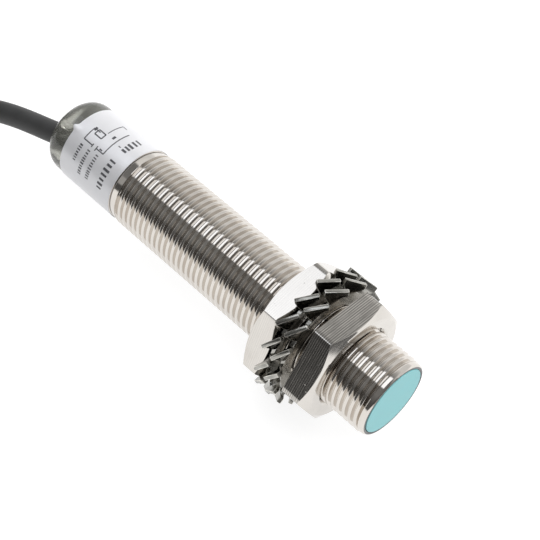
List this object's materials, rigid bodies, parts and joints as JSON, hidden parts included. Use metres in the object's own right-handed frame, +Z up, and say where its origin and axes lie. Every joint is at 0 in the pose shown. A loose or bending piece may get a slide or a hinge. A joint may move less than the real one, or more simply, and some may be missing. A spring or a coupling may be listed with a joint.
{
  "type": "inductive proximity sensor",
  "caption": "Cylindrical threaded inductive proximity sensor with lock nuts, toothed lock washers, plastic sensing face, wrap label and moulded lead ending in stripped cores.",
  "frame": {"origin": "centre of the sensing face", "axes": "+X along the barrel's axis, out of the sensing face towards the target; +Z up as it lies on its nuts"},
  "size_m": [0.1496, 0.0292, 0.0202],
  "materials": {
    "nickel": "bright nickel plate, turned",
    "washer_steel": "nickel-plated spring steel",
    "teal_plastic": "matt moulded",
    "ferrite": "matt sintered",
    "natural_plastic": "natural nylon",
    "copper": "enamelled copper",
    "film": "clear polyester film",
    "board": "solder mask",
    "black_epoxy": "moulded epoxy",
    "resistor": "thick-film",
    "capacitor": "ceramic",
    "led_red": "clear red lens",
    "solder": "bright solder",
    "brown_pvc": "PVC insulation",
    "blue_pvc": "PVC insulation",
    "black_pvc": "PVC insulation",
    "brass_ring": "crimped brass",
    "resin": "cast resin",
    "smoky_plastic": "smoky translucent",
    "label_vinyl": "printed silver-white vinyl",
    "jacket": "matt PVC jacket",
    "tie_black": "plastic-coated wire tie"
  },
  "bodies": {
    "barrel": {"threaded_barrel": "nickel", "sensing_face_cap": "teal_plastic", "ferrite_core": "ferrite", "coil_bobbin": "natural_plastic", "coil_winding": "copper", "coil_leads": "copper", "core_holder": "natural_plastic", "insulating_sleeve": "film", "circuit_board": "board", "oscillator_chip": "black_epoxy", "output_transistor": "black_epoxy", "protection_diode": "black_epoxy", "smd_resistors": "resistor", "smd_capacitors": "capacitor", "indicator_led": "led_red", "solder_joints": "solder", "conductor_brown": "brown_pvc", "conductor_blue": "blue_pvc", "conductor_black": "black_pvc", "cable_crimp_ring": "brass_ring", "potting_compound": "resin", "rear_end_cap": "smoky_plastic", "label_sleeve": "label_vinyl", "cable": "jacket", "cable_hank": "jacket", "hank_tie": "tie_black", "lead_brown": "brown_pvc", "lead_blue": "blue_pvc", "lead_black": "black_pvc", "tinned_tips": "solder"},
    "front_washer": {"front_lock_washer": "washer_steel"},
    "front_nut": {"front_nut": "nickel"},
    "rear_washer": {"rear_lock_washer": "washer_steel"},
    "rear_nut": {"rear_nut": "nickel"}
  },
  "joints": [
    {"name": "front_washer_travel", "type": "slide", "parent": "barrel", "child": "front_washer", "axis": [1, 0, 0], "range_m": [0, 0.0064]},
    {"name": "front_nut_turn", "type": "hinge", "parent": "front_washer", "child": "front_nut", "pos_m": [-0.009, 0, 0], "axis": [1, 0, 0], "range_deg": [0, 2304.01]},
    {"name": "rear_washer_travel", "type": "slide", "parent": "barrel", "child": "rear_washer", "axis": [1, 0, 0], "range_m": [-0.0288, 0]},
    {"name": "rear_nut_turn", "type": "hinge", "parent": "rear_washer", "child": "rear_nut", "pos_m": [-0.017, 0, 0], "axis": [1, 0, 0], "range_deg": [-10368.01, 0]}
  ],
  "couplings": [
    {"joint": "front_nut_turn", "follows": "front_washer_travel", "rad_per_m": 6283.2},
    {"joint": "rear_nut_turn", "follows": "rear_washer_travel", "rad_per_m": 6283.2}
  ]
}
